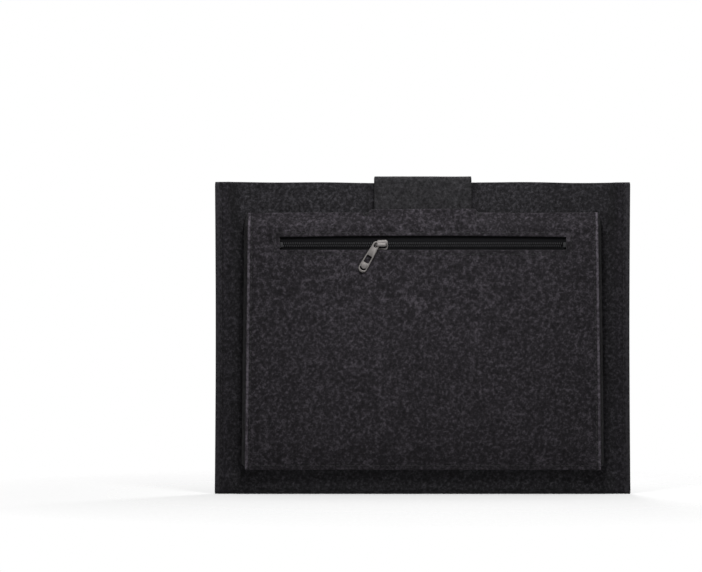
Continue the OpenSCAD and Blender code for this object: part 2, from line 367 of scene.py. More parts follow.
class Look:
    """A node material under construction."""

    def __init__(self, name):
        self.mat = bpy.data.materials.new(name)
        self.mat.use_nodes = True
        self.tree = self.mat.node_tree
        self.shader = self.tree.nodes["Principled BSDF"]

    def put(self, socket, value):
        """Gives a socket a constant, or the output of another node."""
        if isinstance(value, bpy.types.NodeSocket):
            self.tree.links.new(value, socket)
        else:
            socket.default_value = (*value, 1) if socket.type == "RGBA" else value

    def node(self, kind, **inputs):
        """A new node. Underscores in the names of its inputs stand for spaces."""
        node = self.tree.nodes.new("ShaderNode" + kind)
        for name, value in inputs.items():
            self.put(node.inputs[name.replace("_", " ")], value)
        return node

    def coords(self, turn=(0, 0, 0), scale=1.0, along=1.0):
        """Object coordinates turned, then scaled. along is a further scale of the turned Z."""
        place = self.node("TexCoord").outputs["Object"]
        spin = self.node("Mapping", Vector=place, Rotation=[math.radians(a) for a in turn])
        return self.node("Mapping", Vector=spin.outputs[0], Scale=(scale, scale, scale * along)).outputs[0]

    def noise(self, vector, scale, detail=2.0, rough=0.5, distortion=0.0):
        return self.node("TexNoise", Vector=vector, Scale=scale, Detail=detail, Roughness=rough,
                         Distortion=distortion).outputs["Fac"]

    def wave(self, turn, scale, distortion, detail_scale=1.0):
        return self.node("TexWave", Vector=self.coords(turn), Scale=scale, Distortion=distortion,
                         Detail_Scale=detail_scale).outputs["Fac"]

    def ramp(self, value, *stops):
        node = self.node("ValToRGB", Fac=value)
        elements = node.color_ramp.elements
        elements.remove(elements[-1])
        elements[0].position, elements[0].color = stops[0][0], (*stops[0][1], 1)
        for place, colour in stops[1:]:
            elements.new(place).color = (*colour, 1)
        return node.outputs["Color"]

    def grey_ramp(self, value, *stops):
        return self.ramp(value, *[(place, (level,) * 3) for place, level in stops])

    def maths(self, operation, a, b, clamp=False):
        node = self.tree.nodes.new("ShaderNodeMath")
        node.operation = operation
        node.use_clamp = clamp
        self.put(node.inputs[0], a)
        self.put(node.inputs[1], b)
        return node.outputs[0]

    def line(self, value, factor, plus, clamp=False):
        """value x factor + plus."""
        return self.maths("ADD", self.maths("MULTIPLY", value, factor), plus, clamp)

    def vector(self, operation, a, b=(0, 0, 0)):
        node = self.tree.nodes.new("ShaderNodeVectorMath")
        node.operation = operation
        self.put(node.inputs[0], a)
        self.put(node.inputs[1], b)
        return node.outputs["Value" if operation == "LENGTH" else "Vector"]

    def mix(self, a, b, factor, mode="MIX"):
        node = self.tree.nodes.new("ShaderNodeMix")
        node.data_type = "RGBA"
        node.blend_type = mode
        for index, value in ((0, factor), (6, a), (7, b)):
            self.put(node.inputs[index], value)
        return node.outputs[2]

    def done(self, colour, roughness, height, strength, depth, **sockets):
        """Puts the colour, roughness, bump and the shader's other sockets in place."""
        rough_skin = self.node("Bump", Strength=strength, Distance=depth, Height=height)
        for name, value in dict(sockets, Base_Color=colour, Roughness=roughness,
                                Normal=rough_skin.outputs[0]).items():
            self.put(self.shader.inputs[name.replace("_", " ")], value)
        return self.mat


def felt_material(name, base, seed, light, blotch=1.0, cut=None, front_tint=None):
    """Needled felt: light and dark fibres lying every way, over soft mottling.
    cut is (edge, width, softness, gain, splay): a painted highlight, the colour made gain times lighter in a band
    inside the cut edge, where the light would catch it."""
    look = Look(name)
    per_m = 1 / (1.38 * MM)
    layers = []
    for k, turn in enumerate(((8, 24, 0), (-12, 82, 10), (5, -38, -8), (0, 140, 6))):
        place = look.vector("ADD", look.coords(turn, per_m, 0.34), (seed + 11.3 * k, 5.1 * k, 3.7 * k))
        layers.append(look.noise(place, 0.75, 2, 0.6))
    fibres = look.maths("MAXIMUM", look.maths("MAXIMUM", *layers[:2]), look.maths("MAXIMUM", *layers[2:]))
    plain = look.coords()
    grain = look.noise(plain, 345, 4, 0.72)
    mixed = look.line(fibres, 0.36, look.maths("MULTIPLY", grain, 0.64))
    for patches, share in ((look.noise(plain, 95), 0.12), (look.noise(plain, 22, 1), 0.045)):
        mixed = look.line(look.maths("SUBTRACT", patches, 0.5), share * blotch, mixed)
    colour = look.ramp(mixed, (0.40, times(base, 0.40)), (0.525, base), (0.62, times(base, light)),
                       (0.71, times(base, light * 1.7)))
    split = look.node("SeparateXYZ", Vector=plain).outputs
    if front_tint:
        colour = look.mix(colour, front_tint, look.line(split["Y"], 60.0, 0.4, clamp=True), "MULTIPLY")
    if cut:
        edge, width, softness, gain, splay = cut
        spread = look.line(split["Z"], -splay / panel_top, 1 + splay)
        out = look.maths("DIVIDE", look.maths("ABSOLUTE", split["X"], 0.0), spread)
        near = look.maths("DIVIDE", look.maths("SUBTRACT", out, edge - width), softness, clamp=True)
        # painted highlight: the felt is lightened in a band along its cut edge, as if lit there
        edge_highlight = look.maths("MULTIPLY", near, look.grey_ramp(grain, (0.42, 0.25), (0.60, 1)))
        colour = look.mix(colour, times(base, gain), edge_highlight)
    return look.done(colour, 0.95, mixed, 0.8, 0.7 * MM, Specular_IOR_Level=0.15, Sheen_Weight=0.06,
                     Sheen_Roughness=0.5)


def thread_material(name, base):
    """Twisted sewing thread: fine slanting plies."""
    look = Look(name)
    plies = look.wave((0, 35, 20), 900, 1.5)
    return look.done(look.ramp(plies, (0.1, times(base, 0.5)), (0.8, base)), 0.7, plies, 0.5, 0.15 * MM,
                     Sheen_Weight=0.15)


def woven_material(name, base):
    """Close herringbone-like weave of the zip's tapes."""
    look = Look(name)
    weave = look.maths("MULTIPLY", *[look.wave((0, turn, 0), 420, 0.6, 2) for turn in (38, -38)])
    height = look.line(look.noise(look.coords(), 500, 3, 0.6), 0.5, weave)
    colour = look.ramp(height, (0.15, times(base, 0.45)), (0.9, times(base, 1.5)))
    return look.done(colour, 0.9, height, 0.5, 0.25 * MM, Specular_IOR_Level=0.2)


def nylon_material(name, base):
    look = Look(name)
    cloud = look.noise(look.coords(), 900)
    colour = look.ramp(cloud, (0.3, times(base, 0.7)), (0.7, times(base, 1.4)))
    return look.done(colour, look.line(cloud, 0.2, 0.5), cloud, 0.15, 0.1 * MM)


def metal_material(name, base):
    """Satin nickel with fine scratches and rubbed edges."""
    look = Look(name)
    scratch = look.noise(look.coords((0, 30, 0), along=0.08), 2600, 3, 0.7)
    patina = look.noise(look.coords(), 420, 3, 0.6)
    wear = look.grey_ramp(look.node("NewGeometry").outputs["Pointiness"], (0.50, 0), (0.58, 1))
    colour = look.mix(look.mix(times(base, 0.72), times(base, 1.2), patina), times(base, 1.5),
                      look.maths("MULTIPLY", wear, 0.5))
    return look.done(colour, look.line(scratch, 0.25, 0.45), scratch, 0.12, 0.05 * MM, Metallic=1.0)


def elastic_material(name, base):
    """Braided cover of a round elastic."""
    look = Look(name)
    braid = look.maths("MAXIMUM", *[look.wave((0, turn, 0), 330, 0.4) for turn in (50, -50)])
    colour = look.ramp(braid, (0.3, times(base, 0.4)), (0.9, times(base, 1.8)))
    return look.done(colour, 0.85, braid, 0.6, 0.3 * MM, Specular_IOR_Level=0.25)


def button_material(name, base):
    """Turned and lacquered: reddish brown, faint growth lines, a glossy coat."""
    look = Look(name)
    grain = look.noise(look.coords((0, 14, 0), along=0.12), 900, 4, 0.6, 0.8)
    cloud = look.noise(look.coords(), 160)
    colour = look.ramp(grain, (0.35, times(base, 0.82)), (0.52, base), (0.7, times(base, 1.15)))
    colour = look.mix(colour, times(base, 0.7), look.maths("MULTIPLY", cloud, 0.35))
    # painted shade: the dish is darkened, standing in for the shade in its hollow
    offset = look.vector("SUBTRACT", look.coords(), (0, 0, button_z))
    radius = look.vector("LENGTH", look.vector("MULTIPLY", offset, (1, 0, 1)))
    dish = look.grey_ramp(look.maths("DIVIDE", radius, BUTTON_R), (0.55, 1), (0.72, 0))
    colour = look.mix(colour, times(base, 0.42), look.maths("MULTIPLY", dish, 0.6))
    return look.done(colour, look.line(cloud, 0.12, 0.2), grain, 0.08, 0.1 * MM, Coat_Weight=0.5,
                     Coat_Roughness=0.25)


def floor_material(name):
    """Nearly white, fading into the white background away from the sleeve."""
    look = Look(name)
    cloud = look.noise(look.coords(), 3)
    fade = look.grey_ramp(look.vector("LENGTH", look.coords()), (0.10, 0.5), (0.45, 0))
    look.put(look.shader.inputs["Base Color"], look.grey_ramp(cloud, (0.3, 0.92), (0.7, 0.95)))
    look.put(look.shader.inputs["Roughness"], 0.9)
    look.put(look.shader.inputs["Alpha"], fade)
    return look.mat


# The body's felt gets a painted highlight along its two side edges.
front_felt = felt_material("felt_front", (0.0154, 0.0147, 0.0166), 0.0, 2.5, 0.7,
                           (half_w, 3.9 * MM, 0.9 * MM, 2.3, 0.0), (1.10, 0.96, 1.15))
# The pocket's felt is the body's felt made lighter, painted light for the stronger light on the pocket, with a painted
# highlight along its side edges.
pocket_felt = felt_material("felt_pocket", (0.0188, 0.0168, 0.0198), 40.0, 2.7,
                            cut=(panel_half, 2.2 * MM, 1.1 * MM, 6.0, PANEL_SPLAY))
wall_felt = felt_material("felt_wall", (0.0190, 0.0178, 0.0200), 80.0, 2.2)
strap_felt = felt_material("felt_strap", (0.0190, 0.0184, 0.0200), 120.0, 1.7, 0.7,
                           front_tint=(0.84, 0.76, 0.88))
thread = thread_material("thread_grey", (0.0095, 0.0092, 0.0105))
button_cotton = thread_material("thread_rust", (0.42, 0.15, 0.075))
tape_weave = woven_material("zip_tape_black", (0.0046, 0.0045, 0.0055))
coil_nylon = nylon_material("zip_coil_black", (0.0115, 0.0112, 0.0130))
nickel = metal_material("satin_nickel", (0.235, 0.220, 0.214))
elastic_black = elastic_material("elastic_black", (0.0044, 0.0036, 0.0048))
button_brown = button_material("button_brown", (0.40, 0.100, 0.050))
white_floor = floor_material("floor_white")

# ---- camera, light and floor

PHOTO_SCALE = 0.8455 * MM        # width of one picture element at the sleeve
PICTURE_WIDE = 702
CAMERA_BACK = 3.2                # distance of the camera from the sleeve's middle plane
SENSOR = 36                      # in mm
AIM_X = -60.5 * MM               # the sleeve stands right of the picture's middle
AIM_Z = 175.7 * MM               # and the camera is level with this height

camera_data = bpy.data.cameras.new("camera")
camera_data.sensor_width = SENSOR
camera_data.lens = SENSOR * CAMERA_BACK / (PICTURE_WIDE * PHOTO_SCALE)
camera_data.clip_end = 20
camera = add_object("camera", camera_data)
camera.location = (AIM_X, -CAMERA_BACK, AIM_Z)
camera.rotation_euler = (math.pi / 2, 0, 0)
scene.camera = camera
scene.view_settings.view_transform = "Standard"


def softbox(name, place, aim, size, power):
    data = bpy.data.lights.new(name, "AREA")
    data.shape = "RECTANGLE"
    data.size, data.size_y = size
    data.energy = power
    lamp = add_object(name, data)
    lamp.location = place
    lamp.visible_camera = False
    lamp.rotation_euler = (Vector(aim) - Vector(place)).to_track_quat("-Z", "Y").to_euler()


softbox("key_front", (0, -0.33, 0.47), (0, 0, 0.13), (0.11, 0.16), 1.62)
softbox("key_back", (0.12, 0.33, 0.47), (0, 0, 0.13), (0.11, 0.16), 2.2)
softbox("top", (0, 0, 1.9), (0, 0, 0), (1.4, 1.4), 7)


def white_studio():
    """A white background that gives only a soft fill light."""
    world = bpy.data.worlds.new("studio")
    world.use_nodes = True
    nodes, links = world.node_tree.nodes, world.node_tree.links
    choice = nodes.new("ShaderNodeMixShader")
    links.new(nodes.new("ShaderNodeLightPath").outputs["Is Camera Ray"], choice.inputs[0])
    for index, node, strength in ((1, nodes["Background"], 0.25), (2, nodes.new("ShaderNodeBackground"), 1.0)):
        node.inputs["Color"].default_value = (1, 1, 1, 1)
        node.inputs["Strength"].default_value = strength
        links.new(node.outputs[0], choice.inputs[index])
    links.new(choice.outputs[0], nodes["World Output"].inputs["Surface"])
    scene.world = world


white_studio()

FLOOR_HALF = 1.6
floor = new_object("floor", [(x * FLOOR_HALF, y * FLOOR_HALF, 0) for x, y in ((-1, -1), (1, -1), (1, 1), (-1, 1))],
                   [(0, 1, 2, 3)], white_floor)


# ---- felt body

BASE_TOP = 9 * MM           # the bottom fold begins below this height
BASE_R = 7.5 * MM           # and is rounded by this much
GAP = 0.06 * MM             # half the least space between the two sheets


def side_pull(z):
    """The sewn sides draw in a little halfway up."""
    return 1 + 0.0010 - 0.0040 * np.sin(np.pi * np.clip(z / mouth_z, 0, 1)) - 0.001 * z / mouth_z


def face_depth(x, z, front):
    """Distance of a face from the sleeve's middle plane. The front is the flap-and-button face."""
    ax = np.abs(x)
    swell = fall(half_w - (16.5 if front else 21) * MM, half_w - BAND + 0.5 * MM, ax)
    crown = 0.985 + 0.015 * np.cos(np.pi * np.clip(x / half_w, -1, 1) / 2)
    depth = FELT + (half_d - FELT) * swell * crown - 1.7 * MM * bump(ax, half_w - SIDE_STITCH, 1.2 * MM)
    # the sheet turns in towards the fold it stands on
    depth = depth - (0.8 if front else 3.0) * MM * swell * fall(8 * MM, 27 * MM, z)
    if not front:
        # it sinks a little where the pocket is sewn on, and beside the strap
        beside = (bump(ax, gusset_high[0] + 2.5 * MM, 7.5 * MM) * rise(gusset_low[2] - 6 * MM, gusset_low[2], z)
                  * fall(gusset_high[2] - 20 * MM, gusset_high[2], z))
        by_strap = (bump(ax, flap_half + 2.6 * MM, 3.0 * MM) * rise(225 * MM, 236 * MM, z)
                    * fall(256 * MM, 264 * MM, z))
        return depth - 5.6 * MM * beside - 5.0 * MM * by_strap
    # the inner pocket's outline and seam, which fade out near the top, and the dent beside the flap
    fade = fall(205 * MM, 240 * MM, z)
    raised = (fall(FRONT_EDGE_X - 0.8 * MM, FRONT_EDGE_X + 0.8 * MM, ax) * fade
              * rise(FRONT_EDGE_Z - 0.8 * MM, FRONT_EDGE_Z + 0.8 * MM, z))
    seam_x = bump(ax, FRONT_STITCH_X, 1.3 * MM) * rise(FRONT_STITCH_Z - 2 * MM, FRONT_STITCH_Z, z)
    seam_z = bump(z, FRONT_STITCH_Z, 1.3 * MM) * fall(FRONT_STITCH_X, FRONT_STITCH_X + 2 * MM, ax)
    edge_x = bump(ax, FRONT_EDGE_X + 1.6 * MM, 1.0 * MM) * rise(FRONT_EDGE_Z - 3 * MM, FRONT_EDGE_Z, z) * fade
    edge_z = bump(z, FRONT_EDGE_Z - 1.6 * MM, 1.0 * MM) * fall(FRONT_EDGE_X, FRONT_EDGE_X + 3 * MM, ax)
    by_flap = (bump(ax, flap_half + 5 * MM, 8 * MM) * rise(flap_low[2] - 4 * MM, flap_low[2] + 6 * MM, z)
               * fall(250 * MM, 262 * MM, z))
    depth = depth - 1.0 * MM + 1.3 * MM * raised - 0.9 * MM * np.maximum(seam_x * fade, seam_z) \
        - 1.5 * MM * np.maximum(edge_x, edge_z) - 2.4 * MM * by_flap
    return np.maximum(depth, FELT * 0.8)


def build_body():
    half = spaced((0, 140 * MM, 2.4 * MM), (140 * MM, 150 * MM, 1.4 * MM), (150 * MM, half_w, 0.75 * MM))
    xs = mirrored(half)
    straight = spaced((mouth_z, 245 * MM, 1.6 * MM), (245 * MM, 42 * MM, 2.4 * MM), (42 * MM, BASE_TOP, 0.9 * MM))
    mouth_wave = 0.25 * MM * (np.sin(xs / (31 * MM)) + np.sin(xs / (13.7 * MM) + 1.3)) - 1.3 * MM
    at_base = {side: face_depth(xs, np.full_like(xs, BASE_TOP), side > 0) for side in (-1, 1)}
    edge = {side: side * (depth - np.minimum(depth, BASE_R)) for side, depth in at_base.items()}
    outer_rows, inner_rows = [], []

    def row(z_of_pull, y, z, ny, nz):
        x = xs * side_pull(z_of_pull)
        outer = np.stack(np.broadcast_arrays(x, y, z), -1)
        outer_rows.append(outer)
        inner_rows.append(outer - np.stack(np.broadcast_arrays(0 * x, ny, nz), -1))

    def face(side, zs):
        for z in zs:
            stretch = np.clip((z - 0.2) / (mouth_z - 0.2), 0, 1)
            z_row = z + (mouth_wave + (0.3 if side > 0 else -0.2) * MM) * stretch ** 2
            depth = face_depth(xs, z_row, side > 0)
            row(z, side * depth, z_row, side * np.minimum(FELT, depth - GAP), 0)

    def corner(side, angles):
        r = np.minimum(at_base[side], BASE_R)
        thick = np.minimum(FELT, at_base[side] - GAP)
        for a in angles:
            ny, nz = side * math.cos(a), -math.sin(a)
            row(0, edge[side] + r * ny, r + r * nz, thick * ny, thick * nz)

    quarter = np.linspace(0, math.pi / 2, 10)
    face(-1, straight)
    corner(-1, quarter)
    thick = np.minimum(FELT, np.minimum(at_base[-1], at_base[1]) - GAP)
    for f in np.linspace(-1, 1, 9)[1:-1]:
        # a hair is added, because rows that meet in one line would leave faces with no area
        row(0, edge[-1] + (edge[1] - edge[-1]) * (f + 1) / 2 + 1e-6 * f, 0, 0, -thick)
    corner(1, quarter[::-1])
    face(1, straight[::-1])
    outer, inner = np.array(outer_rows), np.array(inner_rows)
    wobble = ripple(outer, 60 * MM, 0.35 * MM, 3.1) + ripple(outer, 9 * MM, 0.10 * MM, 7.7)
    shift = wobble * rise(4 * MM, 30 * MM, outer[..., 2]) * np.sign(outer[..., 1])
    outer[..., 1] += shift
    inner[..., 1] += 0.8 * shift
    # the two sheets never cross the middle plane
    apart = np.sign(outer[..., 1]) * np.maximum(np.abs(inner[..., 1]), 0.04 * MM)
    inner[..., 1] = np.where(outer[..., 2] > BASE_TOP, apart, inner[..., 1])
    middle = len(xs) // 2
    length = distances((outer[:, middle] + inner[:, middle]) / 2)[-1]
    return felt_solid("body_felt_sheet", outer, inner, front_felt), (2 * half_w, float(length))


body, body_cut = build_body()
stands_for(body, "sleeve", "body_felt")


def build_inner_pocket():
    """A thin sheet behind the front felt, which hangs open a little at its top."""
    low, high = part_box("inner_pocket")
    grid_x, grid_z = np.meshgrid(spaced((low[0], high[0], 4 * MM)), spaced((low[2], high[2], 4 * MM)), indexing="ij")
    sag = 0.8 * MM * rise(high[2] - 60 * MM, high[2], grid_z) * np.cos(np.pi * grid_x / (2 * high[0]))
    inner = np.stack([grid_x, high[1] - 1.2 * MM + 0 * grid_x, grid_z], -1)
    outer = inner.copy()
    outer[..., 1] -= 1.1 * MM + sag
    piece = felt_solid("inner_pocket_sheet", outer, inner, pocket_felt)
    stands_for(piece, "sleeve", "inner_pocket")


build_inner_pocket()


def line_on_face(start, end, side):
    """Points on a face of the body, along a straight line between two points (x, z)."""
    points = []
    for t in np.linspace(0, 1, 61):
        x, z = start[0] + t * (end[0] - start[0]), start[1] + t * (end[1] - start[1])
        spot = np.array([x * side_pull(z), side * half_d, z])
        y = float(face_depth(x, z, side > 0)) + float(ripple(spot, 60 * MM, 0.35 * MM, 3.1))
        points.append((spot[0], side * y, z))
    return points, (0, side, 0)


for label, sign in (("left", -1), ("right", 1)):
    x = sign * (half_w - SIDE_STITCH)
    seam = stitches("side_seam_" + label,
                    [line_on_face((x, 4 * MM), (x, mouth_z - 2 * MM), side) for side in (1, -1)], thread)
    stands_for(seam, "sleeve", "side_stitching_" + label)

corners = [(s * FRONT_STITCH_X, z) for s in (-1, 1) for z in (FRONT_STITCH_Z, FRONT_TOP_Z)]
front_seam = stitches("front_seam", [line_on_face(corners[a], corners[b], 1) for a, b in ((0, 1), (2, 3), (0, 2))],
                      thread)
stands_for(front_seam, "sleeve", "front_stitching")

# ---- zip pocket

LIFT_HALF = 44 * MM                      # the top edge rises over the strap inside this
LIFT = 3 * MM


def widening(z):
    """The pocket is a little wider lower down."""
    return 1 + PANEL_SPLAY * (1 - z / panel_top)


def panel_face(x, z):
    """Y of the pocket panel's outer face: it tucks in at the top, and stands out lower down."""
    ax = np.abs(x)
    over_strap = fall(LIFT_HALF - 5 * MM, LIFT_HALF + 4 * MM, ax)
    tuck = rise(panel_top - 12 * MM, panel_top, z) * (5.6 * MM - 2.7 * MM * over_strap)
    belly = (fall(100 * MM, 175 * MM, z) * fall(panel_half - 30 * MM, panel_half, ax)
             * rise(panel_bottom, panel_bottom + 40 * MM, z))
    corner = rise(panel_half - 26 * MM, panel_half, ax)
    turned_in = (1 - 0.5 * corner) * fall(panel_bottom - 3 * MM, panel_bottom + 24 * MM, z)
    seam = np.maximum(bump(ax, panel_half - PANEL_SEAM, 1.1 * MM),
                      0.3 * bump(z, panel_bottom + PANEL_SEAM, 1.1 * MM)) * fall(panel_top - 6 * MM, panel_top, z)
    up = np.abs(z - window_z)
    ring = np.maximum(bump(ax, RING_X, 0.9 * MM) * fall(RING_Z, RING_Z + 1 * MM, up),
                      bump(up, RING_Z, 0.9 * MM) * fall(RING_X, RING_X + 1 * MM, ax))
    # a soft crease runs from each end of the zip up to the pocket's corner
    t = np.clip((z - window_z) / (panel_top - 4 * MM - window_z), 0, 1)
    crease = bump(ax, WINDOW_HALF + (3 + 11 * t) * MM, 1.6 * MM) * rise(0.0, 0.25, t) * fall(0.8, 1.0, t)
    return (panel_low[1] + tuck - 1.6 * MM * belly + 5.0 * MM * turned_in + 0.55 * MM * seam + 0.35 * MM * ring
            - 0.35 * MM * over_strap * rise(221.5 * MM, 224.5 * MM, z) - 0.7 * MM * crease)


def build_panel():
    half = spaced((0, 40 * MM, 2.2 * MM), (40 * MM, 54 * MM, 1.2 * MM), (54 * MM, 112 * MM, 2.2 * MM),
                  (112 * MM, WINDOW_HALF, 1 * MM), (WINDOW_HALF, 128 * MM, 0.8 * MM),
                  (128 * MM, 140 * MM, 1.8 * MM), (140 * MM, panel_half, 0.75 * MM))
    xs = mirrored(half)
    lower, upper = window_z - WINDOW_H / 2, window_z + WINDOW_H / 2
    zs = spaced((panel_bottom, panel_bottom + 7 * MM, 0.75 * MM), (panel_bottom + 7 * MM, 196 * MM, 2.4 * MM),
                (196 * MM, lower, 0.9 * MM), (lower, upper, 2 * MM), (upper, panel_top, 0.9 * MM))
    grid_x, grid_z = np.meshgrid(xs, zs, indexing="ij")
    over_strap = fall(LIFT_HALF - 1 * MM, LIFT_HALF + 3 * MM, np.abs(grid_x))
    bow = np.clip(1 - (grid_x / WINDOW_HALF) ** 2, 0, 1)
    z = (grid_z + LIFT * over_strap * rise(panel_top - 10 * MM, panel_top, grid_z)
         + 1.1 * MM * bow * rise(window_z, upper, grid_z) * fall(upper, upper + 8 * MM, grid_z)
         + 0.25 * MM * np.sin(grid_x / (19 * MM)) * rise(panel_top - 6 * MM, panel_top, grid_z))
    outer = np.stack([grid_x * widening(grid_z), panel_face(grid_x, grid_z), z], -1)
    calm = 0.25 + 0.75 * fall(175 * MM, 185 * MM, grid_z)
    wobble = ripple(outer, 45 * MM, 0.3 * MM, 11.0) * calm + ripple(outer, 8 * MM, 0.09 * MM, 5.0)
    outer[..., 1] += np.maximum(wobble, -0.22 * MM)
    inner = outer + np.array([0, 2.85 * MM, 0])
    window = [int(np.argmin(np.abs(line - place))) for line, place in
              ((xs, -WINDOW_HALF), (xs, WINDOW_HALF), (zs, lower), (zs, upper))]
    return felt_solid("pocket_panel_sheet", outer, inner, pocket_felt, hole=window)


panel = build_panel()
stands_for(panel, "sleeve", "pocket_panel")


def build_gusset():
    """The felt strip round the pocket: a wall that leans out from the panel's edge to the back."""
    wall, splay, turn_r = 2.6 * MM, 3.4 * MM, 4 * MM
    # (x, z, outward x, outward z), going down the left side, round the corner and along the bottom
    path = [(-panel_half, z, -1, 0) for z in np.linspace(panel_top - 0.5 * MM, panel_bottom + turn_r, 70)]
    for a in np.linspace(0, math.pi / 2, 8)[1:-1]:
        c, s = math.cos(a), math.sin(a)
        path.append((-panel_half + turn_r - turn_r * c, panel_bottom + turn_r - turn_r * s, -c, -s))
    left = [(-x, z, -ox, oz) for x, z, ox, oz in path]
    path += [(x, panel_bottom, 0, -1) for x in np.linspace(-panel_half + turn_r, panel_half - turn_r, 90)]
    path += left[::-1]
    rows_out, rows_in = [], []
    for x, z, ox, oz in path:
        wide = x * widening(z)
        face_y = float(panel_face(x, z)) + 1.1 * MM
        back_y = 0.5 * MM - float(face_depth(wide + 3 * MM * ox, z + 2 * MM * oz, False))
        drop = (back_y - face_y) / (10 * MM)
        lean = splay * min(max(drop, 0.15), 1.0) * max(1.0 + 1.6 * oz, -0.3)
        out_row, in_row = [], []
        for t in np.linspace(0, 1, 7):
            y = face_y + (back_y - face_y) * t
            reach = lean * t ** 0.8 + 0.5 * MM * math.sin(math.pi * t) + 0.25 * MM
            px, pz = wide + ox * reach, z + oz * (reach - 0.9 * MM)
            out_row.append((px, y, pz))
            in_row.append((px - ox * wall, y, pz - oz * wall))
        rows_out.append(out_row)
        rows_in.append(in_row)
    outer, inner = np.array(rows_out), np.array(rows_in)
    wobble = ripple(outer, 7 * MM, 0.35 * MM, 21.0)
    for k, (x, z, ox, oz) in enumerate(path):
        outer[k, :, 0] += ox * wobble[k]
        outer[k, :, 2] += oz * wobble[k]
    return felt_solid("pocket_gusset_strip", outer, inner, wall_felt, roundness=0.2)


stands_for(build_gusset(), "sleeve", "pocket_gusset")


def seam_on_panel(name, node, lines, count=50, **thread_size):
    """Stitches on the pocket's face, along straight lines between points (x, z)."""
    runs = []
    for (x0, z0), (x1, z1) in lines:
        line = [(x0 + (x1 - x0) * t, z0 + (z1 - z0) * t) for t in np.linspace(0, 1, count + 1)]
        runs.append(([(x * widening(z), float(panel_face(x, z)), z) for x, z in line], (0, -1, 0)))
    stands_for(stitches(name, runs, thread, **thread_size), "sleeve", node)


seam_x, seam_low, seam_high = panel_half - PANEL_SEAM, panel_bottom + PANEL_SEAM, panel_top - 2 * MM
outline = [(-seam_x, seam_high), (-seam_x, seam_low), (seam_x, seam_low), (seam_x, seam_high)]
seam_on_panel("pocket_seam", "pocket_stitching", zip(outline, outline[1:]))

outline = [(sx * RING_X, window_z + sz * RING_Z) for sx, sz in ((-1, 1), (1, 1), (1, -1), (-1, -1), (-1, 1))]
seam_on_panel("zip_window_seam", "zip_window_stitching", zip(outline, outline[1:]))

tack_rows = [((s * 44 * MM, panel_top - drop * MM), (s * 50.5 * MM, panel_top - drop * MM))
             for s in (-1, 1) for drop in (1.7, 0.4)]
seam_on_panel("strap_tacks", "strap_stitching", tack_rows, 8, pitch=1.3 * MM, length=1.25 * MM, radius=0.45 * MM)


# ---- zip

def build_tape(name, node):
    """A woven tape with a thin cord woven in along the coil."""
    low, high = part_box(node)
    edge = low[2] if low[2] > zip_z - 2 * MM else high[2]
    grid_x, grid_z = np.meshgrid(spaced((low[0], high[0], 2.0 * MM)), spaced((low[2], high[2], 1.0 * MM)),
                                 indexing="ij")
    y = low[1] + 0.12 * MM - 0.22 * MM * bump(np.abs(grid_z - edge), 3.4 * MM, 0.5 * MM)
    outer = np.stack([grid_x, y, grid_z], -1)
    outer[..., 1] += ripple(outer, 14 * MM, 0.10 * MM, 2.0)
    inner = outer + np.array([0, 0.6 * MM, 0])
    stands_for(felt_solid(name, outer, inner, tape_weave, roundness=0.3, steps=3), "sleeve", node)


build_tape("zip_tape_top", "zip_tape_upper")
build_tape("zip_tape_bottom", "zip_tape_lower")


def build_coil(name, node, side):
    """One row of the nylon coil: a rounded loop for each tooth."""
    low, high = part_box(node)
    pitch = 1.55 * MM
    near = -0.35 * MM                     # the teeth of a closed zip reach past its middle line
    far = abs((high[2] if side > 0 else low[2]) - zip_z)
    sides, rings = 8, 9
    verts, faces = [], []
    for n in range(int((high[0] - low[0]) / pitch)):
        x = low[0] + (n + 0.5 + 0.25 * side) * pitch
        faces += tube_faces(len(verts), rings, sides)
        for r in range(rings):
            f = r / (rings - 1)
            reach = near + 0.34 * MM + (far - near - 0.68 * MM) * f
            arch = math.sin(math.pi * (0.18 + 0.82 * f)) ** 0.7 if f < 1 else 0.0
            y = high[1] - 0.35 * MM - (high[1] - low[1] - 0.7 * MM) * (0.35 + 0.65 * arch)
            slant = 0.22 * pitch * (f - 0.5)
            radius = 0.34 * MM * (0.75 if r == 0 else 0.6 if r == rings - 1 else 1)
            for a in circle(sides):
                verts.append((x + slant + radius * 1.25 * math.cos(a), y + radius * math.sin(a), zip_z + side * reach))
    stands_for(solid(name, verts, faces, coil_nylon), "sleeve", node)


build_coil("zip_teeth_top", "zip_coil_upper", 1)
build_coil("zip_teeth_bottom", "zip_coil_lower", -1)

for label in ("left", "right"):
    low, high = [Vector(v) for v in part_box("zip_stop_" + label)]
    bm = bmesh.new()
    bmesh.ops.create_cube(bm, size=1)
    for v in bm.verts:
        v.co = v.co * (high - low) + (low + high) / 2
    stop = object_of("zip_end_" + label, bm, coil_nylon)
    mod = stop.modifiers.new("bevel", "BEVEL")
    mod.width = 0.5 * MM
    mod.segments = 4
    mod.limit_method = "ANGLE"
    mod.angle_limit = math.radians(35)
    apply_modifiers(stop)
    stands_for(smooth_shading(stop), "sleeve", "zip_stop_" + label)


